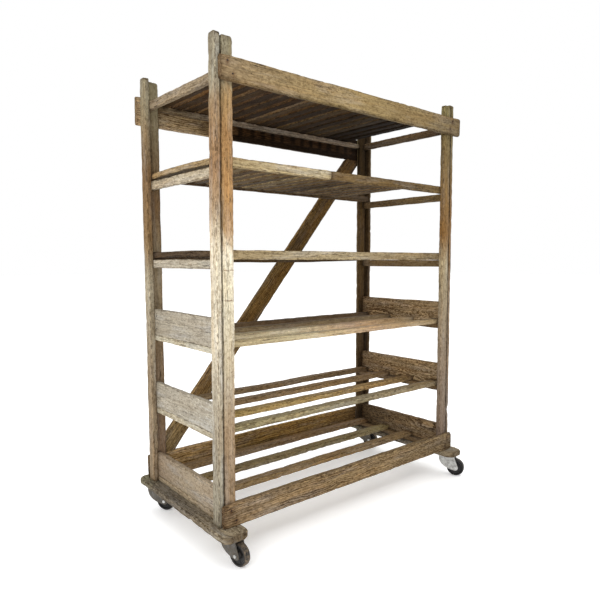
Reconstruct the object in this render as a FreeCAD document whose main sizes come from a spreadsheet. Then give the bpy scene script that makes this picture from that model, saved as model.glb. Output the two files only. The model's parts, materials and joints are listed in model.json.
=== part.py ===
import FreeCAD, Part

import math
import os
import re

import Sketcher

# A tall slatted wooden rack on four swivel casters. Every plank is its own solid.
#
# Frame: +X along the long side, +Y from the open front to the braced back, +Z up.
# The origin is on the floor, under the middle of the rack's bounding box. Millimetres.
#
# Plank positions are written from three datums: the outer face of the left posts (x), the
# front face of the front posts (y) and the top of the caster battens (z).

SIZES = {
    # the frame
    "SpanX": 1346,  # over the outer faces of the left and right posts
    "SpanY": 580,  # over the front and back faces of the posts
    "MiddleX": 679.65,  # from the left datum to the middle of the bounding box
    "MiddleY": 275.33,  # from the front datum to the middle of the bounding box
    "PlankT": 22,  # thickness of all the sawn stock
    "PostOuterW": 44,  # post plank that faces the end of the rack
    "PostInnerW": 49,  # post plank that faces the front or the back
    "PostTopFrontLeft": 1700,
    "PostTopFrontRight": 1687,
    "PostTopBackLeft": 1678,
    "PostTopBackRight": 1682,
    "PostInnerDrop": 8,  # the inner plank of each post stops this much lower
    "PostTopRound": 9,
    # long boards nailed across the posts
    "ApronFrontZ": 1540,
    "ApronFrontH": 81,
    "ApronFrontInset": 12,
    "ApronFrontOverhang": 23,
    "ApronBackZ": 1495,
    "ApronBackH": 113,
    "ApronBackOverhang": 14,
    "ApronEndRound": 26,
    "BottomRailFrontH": 80,
    "BottomRailBackH": 100,
    "BottomRailInset": 3,
    "BottomRailSetBack": 7,  # the front rail's left end stops this much shorter
    "BraceW": 82,
    "BraceFootX": 67,  # middle of the brace where it meets the bottom rail
    "BraceHeadX": 1250,  # middle of the brace where it meets the apron
    # slatted decks, with slats running from front to back
    "SlatW": 43,
    "SlatPitch": 62.5,
    "EndRailH": 34,
    "DeckRailH": 34,
    "DeckSlatLift": 7,  # underside of the slats above the underside of the deck rails
    "TopRailZ": 1552,
    "TopLedgerZ": 1558,
    "TopSlatStart": 74,
    "UpperRailZ": 1230,
    "MiddleRailZ": 908,
    # open shelves, with slats running from end to end
    "BearerW": 47,
    "BearerT": 22,
    "EndBoardH": 108,
    "LowestBoardH": 100,
    "LowerShelfZ": 606,
    "LowestButOneZ": 296,
    "LongSlatW": 47,
    "LongSlatGapEnd": 1,
    # caster battens
    "BattenW": 108,
    "BattenT": 24,
    "BattenOverhangX": 28,
    "BattenFrontLeft": 80,  # overhang in front of the posts
    "BattenFrontRight": 71,
    "BattenBack": 56,
    "BattenRound": 30,
    # casters
    "CasterH": 111,  # floor to the top of the plate
    "CasterShiftX": 24,
    "CasterFrontY": -5,
    "CasterBackY": 571,
    "TrailFrontLeft": -80,  # the way each caster trails, from +X
    "TrailFrontRight": -66,
    "TrailBackLeft": -58,
    "TrailBackRight": -70,
    "Trail": 38,
    "WheelR": 42,
    "WheelW": 28,
    "HubW": 34,
    "HubR": 13,
    "TreadRound": 5,
    "WebDepth": 5,
    "WebOuterR": 31,
    "WebInnerR": 17,
    "AxleR": 4,
    "AxleBoreR": 4.08,
    "PlateX": 60,
    "PlateY": 94,
    "PlateT": 3,
    "PlateRound": 7,
    "PlateHoleX": 22,
    "PlateHoleY": 37,
    "PlateHoleR": 3.3,
    "RaceR": 27,
    "RaceH": 5,
    "RacePlay": 0.4,
    "CrownR": 30,
    "CrownT": 4.6,
    "KingpinR": 6,
    "KingpinBoreR": 6.08,
    "KingpinHeadR": 10,
    "KingpinHeadH": 3,
    "LegT": 3,
    "LegGap": 36,
    "LegFrontX": 33,
    "LegBackX": 33,
    "LegShoulderZ": 77,
    "LegBellyX": 13,  # the bulge of the leading edge, in from the shoulder
    "LegBellyZ": 53,
    "BossR": 13,
    "NutR": 7,
    "NutH": 6,
    "ScrewR": 3,
    "ScrewHeadR": 6,
    "ScrewHeadH": 4,
    # nail heads
    "NailR": 3.5,
    "NailH": 1.2,
}

SHELF_SLAT_COUNT = {"top": 18, "upper": 17, "middle": 17}
LONG_SLATS = 4
LEFT, RIGHT = "left", "right"
FRONT, BACK = "front", "back"
UP = FreeCAD.Vector(0, 0, 1)

doc = FreeCAD.newDocument("SlattedRack")
sheet = doc.addObject("Spreadsheet::Sheet", "Sizes")
for row, (alias, value) in enumerate(SIZES.items(), start=1):
    sheet.set(f"A{row}", alias)
    sheet.set(f"B{row}", str(value))
    sheet.setAlias(f"B{row}", alias)
doc.recompute()

ALIAS = re.compile(r"\b(" + "|".join(sorted(SIZES, key=len, reverse=True)) + r")\b")
nodes = {}


def bound(text):
    """The expression that reads the sheet for each size named in the text."""
    return ALIAS.sub(r"Sizes.\1", str(text))


def bind(obj, **expressions):
    """Bind properties to the sheet. A double underscore in a keyword stands for a dot."""
    for path, text in expressions.items():
        obj.setExpression(path.replace("__", "."), bound(text))


def place(obj, x, y, z):
    bind(obj, Placement__Base__x=x, Placement__Base__y=y, Placement__Base__z=z)


def make(kind, name):
    return doc.addObject(kind, name)


def node(name, obj):
    """Register a finished object as the sub-part of that name."""
    obj.Label = name
    nodes[name] = obj
    return obj


def box(name, x, y, z, dx, dy, dz):
    """A box in the frame's own axes."""
    obj = make("Part::Box", name)
    bind(obj, Length=dx, Width=dy, Height=dz)
    place(obj, x, y, z)
    return obj


def plank(name, x, y, z, dx, dy, dz):
    """A box placed from the left, front and batten-top datums."""
    return box(
        name,
        f"({x}) - MiddleX",
        f"({y}) - MiddleY",
        f"({z}) + CasterH + BattenT",
        dx,
        dy,
        dz,
    )


def cylinder(name, x, y, z, radius, height, axis=UP):
    obj = make("Part::Cylinder", name)
    bind(obj, Radius=radius, Height=height)
    obj.Placement.Rotation = FreeCAD.Rotation(UP, axis)
    place(obj, x, y, z)
    return obj


def group(name, members):
    """Several separate solids that share one node."""
    obj = make("Part::Compound", name)
    obj.Links = members
    return obj


def fused(name, members):
    obj = make("Part::MultiFuse", name)
    obj.Shapes = members
    return obj


def cut(name, base, tools):
    obj = make("Part::Cut", name)
    obj.Base = base
    obj.Tool = fused(name + "_tools", tools) if len(tools) > 1 else tools[0]
    return obj


def rounded(name, base, radius_alias, wanted):
    """Round the edges of the base that the test accepts."""
    doc.recompute()
    radius = float(sheet.get(radius_alias))
    obj = make("Part::Fillet", name)
    obj.Base = base
    edges = base.Shape.Edges
    obj.Edges = [(i + 1, radius, radius) for i, edge in enumerate(edges) if wanted(edge)]
    return obj


def along(edge, direction):
    span = edge.Vertexes[-1].Point - edge.Vertexes[0].Point
    return span.Length > 0 and abs(span.normalize().dot(direction)) > 0.999


def mirrored_x(side, offset, width):
    """An x measured from the left datum, or its mirror image at the right-hand end."""
    return offset if side == LEFT else f"SpanX - ({offset}) - ({width})"


def mirrored_y(side, offset, width):
    return offset if side == FRONT else f"SpanY - ({offset}) - ({width})"


# ---------------------------------------------------------------- posts


def rounded_top(name, blank, along_x):
    """Ease the two upper edges that run across the plank's width."""
    top = blank.Shape.BoundBox.ZMax
    direction = FreeCAD.Vector(0, 1, 0) if along_x else FreeCAD.Vector(1, 0, 0)
    return rounded(
        name,
        blank,
        "PostTopRound",
        lambda edge: along(edge, direction) and abs(edge.CenterOfMass.z - top) < 0.01,
    )


def post(end, face):
    """An L of two planks: one faces the end of the rack, one faces its front or back."""
    height = "PostTop" + face.capitalize() + end.capitalize()
    outer = plank(
        f"post_{face}_{end}_outer_blank",
        mirrored_x(end, "0", "PlankT"),
        mirrored_y(face, "0", "PostOuterW"),
        "0",
        "PlankT",
        "PostOuterW",
        height,
    )
    inner = plank(
        f"post_{face}_{end}_inner_blank",
        mirrored_x(end, "PlankT", "PostInnerW"),
        mirrored_y(face, "0", "PlankT"),
        "0",
        "PostInnerW",
        "PlankT",
        height + " - PostInnerDrop",
    )
    doc.recompute()
    name = f"post_{face}_{end}"
    node(name + "_outer", rounded_top(name + "_outer", outer, along_x=False))
    node(name + "_inner", rounded_top(name + "_inner", inner, along_x=True))


# ---------------------------------------------------------------- long boards


def aprons():
    front = plank(
        "apron_front",
        "ApronFrontInset",
        "-PlankT",
        "ApronFrontZ",
        "SpanX - ApronFrontInset + ApronFrontOverhang",
        "PlankT",
        "ApronFrontH",
    )
    node("apron_front", front)
    back = plank(
        "apron_back_blank",
        "-ApronBackOverhang",
        "SpanY",
        "ApronBackZ",
        "SpanX + 2 * ApronBackOverhang",
        "PlankT",
        "ApronBackH",
    )
    doc.recompute()
    bottom = back.Shape.BoundBox.ZMin
    depth = FreeCAD.Vector(0, 1, 0)
    eased = rounded(
        "apron_back",
        back,
        "ApronEndRound",
        lambda edge: along(edge, depth) and abs(edge.CenterOfMass.z - bottom) < 0.01,
    )
    node("apron_back", eased)


def bottom_rail(face, height):
    y = "-PlankT" if face == FRONT else "SpanY"
    start = "BottomRailInset" + (" + BottomRailSetBack" if face == FRONT else "")
    length = f"SpanX - BottomRailInset - ({start})"
    rail = plank(f"bottom_rail_{face}", start, y, "0", length, "PlankT", height)
    node(f"bottom_rail_{face}", rail)


def brace():
    """The diagonal on the back, cut level where it meets the bottom rail and the apron."""
    run = "(BraceHeadX - BraceFootX)"
    rise = "(ApronBackZ - BottomRailBackH)"
    length = f"sqrt({run} * {run} + {rise} * {rise})"
    bar = box("brace_bar", "0", "0", "0", f"{length} + 2 * BraceW", "PlankT", "BraceW")
    slope = math.degrees(
        math.atan2(
            SIZES["ApronBackZ"] - SIZES["BottomRailBackH"],
            SIZES["BraceHeadX"] - SIZES["BraceFootX"],
        )
    )
    bar.Placement.Rotation = FreeCAD.Rotation(FreeCAD.Vector(0, 1, 0), -slope)
    # the bar's lower corner, set back along the bar and half its width below the middle line
    place(
        bar,
        f"BraceFootX - MiddleX + ({rise} * 0.5 - {run}) * BraceW / {length}",
        "SpanY - MiddleY",
        f"BottomRailBackH + CasterH + BattenT - ({run} * 0.5 + {rise}) * BraceW / {length}",
    )
    limits = plank("brace_limits", "0", "SpanY", "BottomRailBackH", "SpanX", "PlankT", rise)
    trimmed = make("Part::Common", "brace")
    trimmed.Base = bar
    trimmed.Tool = limits
    node("diagonal_brace", trimmed)


# ---------------------------------------------------------------- decks of cross slats


def end_rail(shelf, end, z):
    rail = plank(
        f"end_rail_{shelf}_{end}",
        mirrored_x(end, "PlankT", "PlankT"),
        "PlankT",
        z,
        "PlankT",
        "SpanY - 2 * PlankT",
        "EndRailH",
    )
    node(f"end_rail_{shelf}_{end}", rail)


def cross_slats(shelf, count, start, y, z, depth):
    slats = [
        plank(f"{shelf}_slat_{i}", f"{start} + {i} * SlatPitch", y, z, "SlatW", depth, "PlankT")
        for i in range(count)
    ]
    node(f"slats_{shelf}", group(f"slats_{shelf}", slats))


def top_shelf():
    """Slats on two ledgers that run between the posts, behind the aprons."""
    for end in (LEFT, RIGHT):
        end_rail("top", end, "TopRailZ")
    for face in (FRONT, BACK):
        ledger = plank(
            f"ledger_top_{face}",
            "PlankT + PostInnerW",
            mirrored_y(face, "0", "PlankT"),
            "TopLedgerZ",
            "SpanX - 2 * (PlankT + PostInnerW)",
            "PlankT",
            "PlankT",
        )
        node(f"ledger_top_{face}", ledger)
    z = "TopLedgerZ + PlankT"
    cross_slats("top", SHELF_SLAT_COUNT["top"], "TopSlatStart", "1", z, "SpanY - 2")


def framed_shelf(shelf, rail_z):
    """A deck framed by two long rails that lie on the end rails, with slats between them."""
    for end in (LEFT, RIGHT):
        end_rail(shelf, end, rail_z)
    deck_z = f"{rail_z} + EndRailH"
    for face in (FRONT, BACK):
        rail = plank(
            f"deck_rail_{shelf}_{face}",
            "PlankT",
            mirrored_y(face, "PlankT", "PlankT"),
            deck_z,
            "SpanX - 2 * PlankT",
            "PlankT",
            "DeckRailH",
        )
        node(f"deck_rail_{shelf}_{face}", rail)
    z = f"{deck_z} + DeckSlatLift"
    y = "2 * PlankT"
    cross_slats(shelf, SHELF_SLAT_COUNT[shelf], "PlankT", y, z, "SpanY - 4 * PlankT")


# ---------------------------------------------------------------- shelves of long slats


def long_slat_y(i):
    """The front slat lies just behind the front posts, the last just before the back posts."""
    return f"PlankT + 8 + {i} * (SpanY - 2 * PlankT - 16 - LongSlatW) / {LONG_SLATS - 1}"


def long_slat_shelf(shelf, z, board_height):
    bearers = [
        plank(
            f"bearer_{shelf}_{end}",
            mirrored_x(end, "PlankT", "BearerW"),
            "PlankT",
            z,
            "BearerW",
            "SpanY - 2 * PlankT",
            "BearerT",
        )
        for end in (LEFT, RIGHT)
    ]
    node(f"bearers_{shelf}", group(f"bearers_{shelf}", bearers))
    for end in (LEFT, RIGHT):
        board = plank(
            f"end_board_{shelf}_{end}",
            mirrored_x(end, "PlankT", "PlankT"),
            "PlankT",
            f"{z} + BearerT",
            "PlankT",
            "SpanY - 2 * PlankT",
            board_height,
        )
        node(f"end_board_{shelf}_{end}", board)
    slats = [
        plank(
            f"{shelf}_slat_{i}",
            "2 * PlankT + LongSlatGapEnd",
            long_slat_y(i),
            f"{z} + BearerT",
            "SpanX - 4 * PlankT - 2 * LongSlatGapEnd",
            "LongSlatW",
            "PlankT",
        )
        for i in range(LONG_SLATS)
    ]
    node(f"slats_{shelf}", group(f"slats_{shelf}", slats))


# ---------------------------------------------------------------- battens and casters


def batten_x(end):
    return mirrored_x(end, "-BattenOverhangX", "BattenW")


def batten(end):
    front = "BattenFront" + end.capitalize()
    blank = plank(
        f"caster_batten_{end}_blank",
        batten_x(end),
        f"-{front}",
        "-BattenT",
        "BattenW",
        f"SpanY + {front} + BattenBack",
        "BattenT",
    )
    eased = rounded(f"caster_batten_{end}", blank, "BattenRound", lambda edge: along(edge, UP))
    node(f"caster_batten_{end}", eased)


def profile_pad(name, points, depth):
    """A body padded from a closed outline on its XZ plane, every corner bound to the sheet.

    The points are pairs of expressions that stay positive."""
    body = make("PartDesign::Body", name)
    sketch = body.newObject("Sketcher::SketchObject", name + "_outline")
    plane = next(f for f in body.Origin.OriginFeatures if f.Role == "XZ_Plane")
    sketch.AttachmentSupport = (plane, [""])
    sketch.MapMode = "FlatFace"
    draw_outline(sketch, points)
    pad = body.newObject("PartDesign::Pad", name + "_pad")
    pad.Profile = sketch
    bind(pad, Length=depth)
    return body


def draw_outline(sketch, points):
    corners = [FreeCAD.Vector(size_of(x), size_of(y), 0) for x, y in points]
    count = len(corners)
    for i, corner in enumerate(corners):
        sketch.addGeometry(Part.LineSegment(corner, corners[(i + 1) % count]), False)
    for i in range(count):
        sketch.addConstraint(Sketcher.Constraint("Coincident", i, 2, (i + 1) % count, 1))
    for i, (x, y) in enumerate(points):
        for kind, text, size in (("DistanceX", x, corners[i].x), ("DistanceY", y, corners[i].y)):
            index = sketch.addConstraint(Sketcher.Constraint(kind, -1, 1, i, 1, size))
            sketch.setExpression(f"Constraints[{index}]", bound(text))


def size_of(text):
    """The present value of an expression in the sheet's sizes."""
    return float(sheet.evalExpression(text))


def wheel(name):
    """Solid rubber tyre on a dished hub, turned about the axle, which lies along Y."""
    body = make("PartDesign::Body", name)
    sketch = body.newObject("Sketcher::SketchObject", name + "_section")
    plane = next(f for f in body.Origin.OriginFeatures if f.Role == "XY_Plane")
    sketch.AttachmentSupport = (plane, [""])
    sketch.MapMode = "FlatFace"
    side = "(HubW - WheelW) / 2"  # from the hub's end face in to the tyre's side
    far = f"(HubW - {side})"
    draw_outline(
        sketch,
        [
            ("AxleBoreR", "0"),
            ("HubR", "0"),
            ("WebInnerR", f"{side} + WebDepth"),
            ("WebOuterR", f"{side} + WebDepth"),
            ("WebOuterR + 3", side),
            ("WheelR - TreadRound", side),
            ("WheelR", f"{side} + TreadRound"),
            ("WheelR", f"{far} - TreadRound"),
            ("WheelR - TreadRound", far),
            ("WebOuterR + 3", far),
            ("WebOuterR", f"{far} - WebDepth"),
            ("WebInnerR", f"{far} - WebDepth"),
            ("HubR", "HubW"),
            ("AxleBoreR", "HubW"),
        ],
    )
    turned = body.newObject("PartDesign::Revolution", name + "_turned")
    turned.Profile = sketch
    turned.ReferenceAxis = (sketch, ["V_Axis"])
    turned.Angle = 360
    return body


def fork(name):
    """Pressed swivel fork: a round crown, a bridge and two legs down to the axle."""
    crown_z = "(CasterH - PlateT - RaceH - RacePlay - CrownT)"
    shift = "LegFrontX"
    legs = []
    for label, y in (("near", "-LegGap / 2"), ("far", "LegGap / 2 + LegT")):
        leg = profile_pad(
            f"{name}_leg_{label}",
            [
                ("0", f"{crown_z} + CrownT / 2"),
                ("0", "LegShoulderZ"),
                ("LegBellyX", "LegBellyZ"),
                (f"Trail + {shift} - 0.7 * BossR", "WheelR - 0.7 * BossR"),
                (f"Trail + {shift} + BossR", "WheelR"),
                (f"LegBackX + {shift}", f"{crown_z} + CrownT / 2"),
            ],
            "LegT",
        )
        place(leg, f"-{shift}", y, "0")
        legs.append(leg)
    across = FreeCAD.Vector(0, 1, 0)
    bosses = [
        cylinder(f"{name}_boss_{i}", "Trail", y, "WheelR", "BossR", "LegT", across)
        for i, y in enumerate(("-LegGap / 2 - LegT", "LegGap / 2"))
    ]
    crown = cylinder(name + "_crown", "0", "0", crown_z, "CrownR", "CrownT")
    bridge = box(
        name + "_bridge",
        f"-{shift}",
        "-LegGap / 2 - LegT",
        crown_z,
        f"{shift} + LegBackX - 4",
        "LegGap + 2 * LegT",
        "CrownT / 2",
    )
    bores = [
        cylinder(name + "_king_bore", "0", "0", f"{crown_z} - 1", "KingpinBoreR", "CrownT + 2"),
        cylinder(
            name + "_axle_bore", "Trail", "-LegGap", "WheelR", "AxleBoreR", "2 * LegGap", across
        ),
    ]
    blank = fused(name + "_blank", [crown, bridge] + legs + bosses)
    return cut(name, blank, bores)


def plate(name):
    """Top plate with its raised race and the riveted kingpin that holds the fork."""
    plate_z = "(CasterH - PlateT)"
    blank = box(
        name + "_blank", "-PlateX / 2", "-PlateY / 2", plate_z, "PlateX", "PlateY", "PlateT"
    )
    sheet_metal = rounded(name + "_sheet", blank, "PlateRound", lambda edge: along(edge, UP))
    race = cylinder(name + "_race", "0", "0", f"{plate_z} - RaceH", "RaceR", f"RaceH + PlateT / 2")
    pin_bottom = f"({plate_z} - RaceH - CrownT - 2 * RacePlay - KingpinHeadH)"
    pin = cylinder(name + "_kingpin", "0", "0", pin_bottom, "KingpinR", f"{plate_z} - {pin_bottom}")
    head = cylinder(name + "_kingpin_head", "0", "0", pin_bottom, "KingpinHeadR", "KingpinHeadH")
    holes = [
        cylinder(f"{name}_hole_{i}", x, y, f"{plate_z} - 1", "PlateHoleR", "PlateT + 2")
        for i, (x, y) in enumerate(screw_places())
    ]
    return cut(name, fused(name + "_solid", [sheet_metal, race, pin, head]), holes)


def screw_places():
    return [(f"{i} * PlateHoleX", f"{j} * PlateHoleY") for i in (-1, 1) for j in (-1, 1)]


def axle(name):
    """Bolt through both legs, with its head and its nut outside them."""
    across = FreeCAD.Vector(0, 1, 0)
    outside = "(LegGap / 2 + LegT)"
    shank = cylinder(
        name + "_shank", "Trail", f"-{outside}", "WheelR", "AxleR", f"2 * {outside}", across
    )
    ends = []
    for label, y in (("head", f"-{outside} - NutH"), ("nut", outside)):
        end = make("Part::Prism", f"{name}_{label}")
        end.Polygon = 6
        bind(end, Circumradius="NutR", Height="NutH")
        end.Placement.Rotation = FreeCAD.Rotation(UP, across)
        place(end, "Trail", y, "WheelR")
        ends.append(end)
    return fused(name, [shank] + ends)


def stand_at(obj, x, y, trail):
    """Move a caster piece from its own axis to its place, turned the way the caster trails."""
    if trail:
        obj.Placement.Rotation = FreeCAD.Rotation(UP, size_of(trail))
    place(obj, f"({x}) - MiddleX", f"({y}) - MiddleY", "0")


def caster(face, end):
    name = f"caster_{face}_{end}"
    x = f"{batten_x(end)} + BattenW / 2 + CasterShiftX"
    y = "CasterFrontY" if face == FRONT else "CasterBackY"
    trail = "Trail" + face.capitalize() + end.capitalize()
    pieces = (("plate", plate, None), ("fork", fork, trail), ("axle", axle, trail))
    for part, build, turned in pieces:
        obj = build(f"{name}_{part}")
        stand_at(obj, x, y, turned)
        node(f"{name}_{part}", obj)
    # the wheel's body has its origin at one end of the hub, on the axle's line
    body = wheel(f"{name}_wheel")
    body.Placement.Rotation = FreeCAD.Rotation(UP, size_of(trail))
    turn = f"{trail} * 1deg"
    place(
        body,
        f"({x}) - MiddleX + Trail * cos({turn}) + HubW / 2 * sin({turn})",
        f"({y}) - MiddleY + Trail * sin({turn}) - HubW / 2 * cos({turn})",
        "WheelR",
    )
    node(f"{name}_wheel", body)


def caster_screws():
    """Four screws hold each plate up against its batten."""
    screws = []
    for face in (FRONT, BACK):
        for end in (LEFT, RIGHT):
            for i, (x, y) in enumerate(screw_places()):
                name = f"screw_{face}_{end}_{i}"
                middle = f"{batten_x(end)} + BattenW / 2 + CasterShiftX - MiddleX + {x}"
                row = "CasterFrontY" if face == FRONT else "CasterBackY"
                across = f"{row} - MiddleY + {y}"
                under = "CasterH - PlateT - ScrewHeadH"
                head = cylinder(name + "_head", middle, across, under, "ScrewHeadR", "ScrewHeadH")
                shank = cylinder(
                    name + "_shank", middle, across, under, "ScrewR", "ScrewHeadH + PlateT"
                )
                screws.append(fused(name, [head, shank]))
    node("caster_screws", group("caster_screws", screws))


# ---------------------------------------------------------------- nail heads


def nail(name, x, y, z, axis):
    return cylinder(
        name,
        f"({x}) - MiddleX",
        f"({y}) - MiddleY",
        f"({z}) + CasterH + BattenT",
        "NailR",
        "NailH",
        axis,
    )


def board_nails():
    """Two nails at each end of the aprons and bottom rails, into the post behind.

    The nails of the slats are driven flush, so they have no heads to stand on."""
    nails = []
    boards = (
        ("apron_front", "-PlankT", -1, "ApronFrontZ", "ApronFrontH"),
        ("apron_back", "SpanY + PlankT", 1, "ApronBackZ", "ApronBackH"),
        ("rail_front", "-PlankT", -1, "0", "BottomRailFrontH"),
        ("rail_back", "SpanY + PlankT", 1, "0", "BottomRailBackH"),
    )
    for board, face_y, outward, z, height in boards:
        for end in (LEFT, RIGHT):
            for i, (across, up) in enumerate(((0.3, 0.78), (0.72, 0.28))):
                x = mirrored_x(end, f"PlankT + {across} * PostInnerW", "0")
                axis = FreeCAD.Vector(0, outward, 0)
                name = f"nail_{board}_{end}_{i}"
                nails.append(nail(name, x, face_y, f"{z} + {up} * {height}", axis))
    return nails


# ---------------------------------------------------------------- assembly

for post_face in (FRONT, BACK):
    for post_end in (LEFT, RIGHT):
        post(post_end, post_face)
aprons()
bottom_rail(FRONT, "BottomRailFrontH")
bottom_rail(BACK, "BottomRailBackH")
brace()
top_shelf()
framed_shelf("upper", "UpperRailZ")
framed_shelf("middle", "MiddleRailZ")
long_slat_shelf("lower", "LowerShelfZ", "EndBoardH")
long_slat_shelf("low", "LowestButOneZ", "EndBoardH")
long_slat_shelf("bottom", "0", "LowestBoardH")
for batten_end in (LEFT, RIGHT):
    batten(batten_end)
for caster_face in (FRONT, BACK):
    for caster_end in (LEFT, RIGHT):
        caster(caster_face, caster_end)
caster_screws()
node("nail_heads", group("nail_heads", board_nails()))
doc.recompute()

# ---------------------------------------------------------------- checks and output

for item in doc.Objects:
    if "Invalid" in item.State or "Error" in item.State:
        raise RuntimeError(f"{item.Name}: {item.State}")
for label, item in nodes.items():
    if item.Shape.isNull() or not item.Shape.isValid() or not item.Shape.Solids:
        raise RuntimeError(f"{label}: bad shape")

os.makedirs("parts", exist_ok=True)
for label, item in nodes.items():
    item.Shape.exportStep(f"parts/{label}.step")
print(len(nodes), "sub-parts")
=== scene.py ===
import json
import math

import bmesh
import bpy
import numpy as np
from mathutils import Matrix, Vector

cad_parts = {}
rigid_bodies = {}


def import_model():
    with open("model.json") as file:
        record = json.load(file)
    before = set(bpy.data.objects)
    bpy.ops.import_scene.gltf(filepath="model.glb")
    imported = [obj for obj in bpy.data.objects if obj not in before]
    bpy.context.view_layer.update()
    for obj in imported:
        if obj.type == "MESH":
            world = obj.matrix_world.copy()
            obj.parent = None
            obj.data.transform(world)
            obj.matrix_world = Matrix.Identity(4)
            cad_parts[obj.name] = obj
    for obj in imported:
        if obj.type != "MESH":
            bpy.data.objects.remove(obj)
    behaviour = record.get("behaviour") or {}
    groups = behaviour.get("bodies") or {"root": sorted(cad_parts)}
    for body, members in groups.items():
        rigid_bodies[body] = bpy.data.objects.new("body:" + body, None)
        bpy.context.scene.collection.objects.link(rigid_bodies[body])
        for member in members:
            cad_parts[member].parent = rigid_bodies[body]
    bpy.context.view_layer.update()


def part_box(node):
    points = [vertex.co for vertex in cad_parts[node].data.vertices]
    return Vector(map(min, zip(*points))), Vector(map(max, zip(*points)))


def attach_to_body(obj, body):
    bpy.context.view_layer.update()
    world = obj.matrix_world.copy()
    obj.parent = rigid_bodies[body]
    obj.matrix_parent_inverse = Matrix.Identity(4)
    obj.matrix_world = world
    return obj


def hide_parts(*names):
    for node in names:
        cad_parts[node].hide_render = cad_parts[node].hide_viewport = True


for left_over in list(bpy.data.objects):
    bpy.data.objects.remove(left_over)

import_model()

# A tall slatted wooden rack on four swivel casters. Metres, +Z up, +Y from the open
# front to the braced back. Every plank is swept along its length with its own bow,
# worn edges, chips, splits and cut ends.

X, Y, Z = 0, 1, 2
RACK = "rack"
BATTEN_TOP = 0.135
LEFT_DATUM = -0.67965  # outer face of the left posts
FRONT_DATUM = -0.27533  # front face of the front posts
SPAN_X, SPAN_Y = 1.346, 0.58
HEIGHT = 1.7
SLAT_W = 0.043  # cross slats
BOARD_W = 0.047  # long slats and bearers
POST_CAP = 0.010  # radius of the eased tops of the posts
TINT_GAIN = 0.97  # overall depth of the wood's colour
LEAN = 0.014  # the lower back left corner stands this far in


def srgb(color):
    """A display colour, 0 to 255, as linear light."""
    return [v / 12.92 if v <= 0.04045 else ((v + 0.055) / 1.055) ** 2.4 for v in (c / 255 for c in color)]


# ---- shader helpers


class Shader:
    """A node material under construction. Each method returns the output it adds."""

    def __init__(self, name):
        self.mat = bpy.data.materials.new(name)
        self.mat.use_nodes = True
        self.tree = self.mat.node_tree
        self.tree.nodes.clear()
        self.bsdf = self.tree.nodes.new("ShaderNodeBsdfPrincipled")
        out = self.tree.nodes.new("ShaderNodeOutputMaterial")
        self.tree.links.new(self.bsdf.outputs[0], out.inputs[0])

    def put(self, socket, value):
        if isinstance(value, bpy.types.NodeSocket):
            self.tree.links.new(value, socket)
        elif isinstance(value, (tuple, list)) and len(value) == 3 and socket.type == "RGBA":
            socket.default_value = (*value, 1)
        else:
            socket.default_value = value

    def surface(self, **inputs):
        """Set the shader's own sockets, named with _ for each space."""
        for key, value in inputs.items():
            self.put(self.bsdf.inputs[key.replace("_", " ")], value)

    def node(self, kind, inputs, output=0, **settings):
        node = self.tree.nodes.new("ShaderNode" + kind)
        for key, value in settings.items():
            setattr(node, key, value)
        for key, value in inputs.items():
            self.put(node.inputs[key], value)
        return node.outputs[output]

    def attr(self, name, output="Fac"):
        return self.node("Attribute", {}, output, attribute_name=name)

    def math(self, op, a, b=0.0):
        return self.node("Math", {0: a, 1: b}, operation=op)

    def mul(self, a, b):
        return self.math("MULTIPLY", a, b)

    def add(self, a, b):
        return self.math("ADD", a, b)

    def sub(self, a, b):
        return self.math("SUBTRACT", a, b)

    def total(self, *parts):
        """The sum of some outputs, each with a weight."""
        result = self.mul(*parts[0])
        for part in parts[1:]:
            result = self.add(result, self.mul(*part))
        return result

    def times(self, vector, scale):
        return self.node("VectorMath", {0: vector, 1: scale}, operation="MULTIPLY")

    def plus(self, a, b):
        return self.node("VectorMath", {0: a, 1: b}, operation="ADD")

    def noise(self, vector, scale=1.0, detail=3.0, rough=0.55, distort=0.0):
        inputs = {
            "Vector": vector, "Scale": scale, "Detail": detail, "Roughness": rough, "Distortion": distort
        }
        return self.node("TexNoise", inputs)

    def rings(self, vector, scale, distort):
        inputs = {"Vector": vector, "Scale": scale, "Distortion": distort, "Detail": 2.0, "Detail Scale": 1.5}
        return self.node("TexWave", inputs, "Fac", wave_type="RINGS", rings_direction="X", wave_profile="SAW")

    def step(self, value, low, high, to_low=0.0, to_high=1.0):
        """Smooth step between two levels."""
        inputs = {"Value": value, "From Min": low, "From Max": high, "To Min": to_low, "To Max": to_high}
        return self.node("MapRange", inputs, interpolation_type="SMOOTHSTEP")

    def mix(self, fac, a, b, blend="MIX"):
        inputs = {0: fac, 6: a, 7: b}
        return self.node("Mix", inputs, 2, data_type="RGBA", blend_type=blend, clamp_factor=True)

    def dye(self, fac, color, other, factors):
        """The colour, changed toward another one times some factors."""
        return self.mix(fac, color, self.mix(1.0, other, factors, "MULTIPLY"))

    def gray(self, color, amount):
        """The colour with part of its saturation taken away."""
        return self.node("HueSaturation", {"Color": color, "Saturation": self.sub(1.0, amount)})

    def bump(self, height, strength, distance):
        return self.node("Bump", {"Height": height, "Strength": strength, "Distance": distance})


SLOTS = {}  # material name: slot


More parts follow.
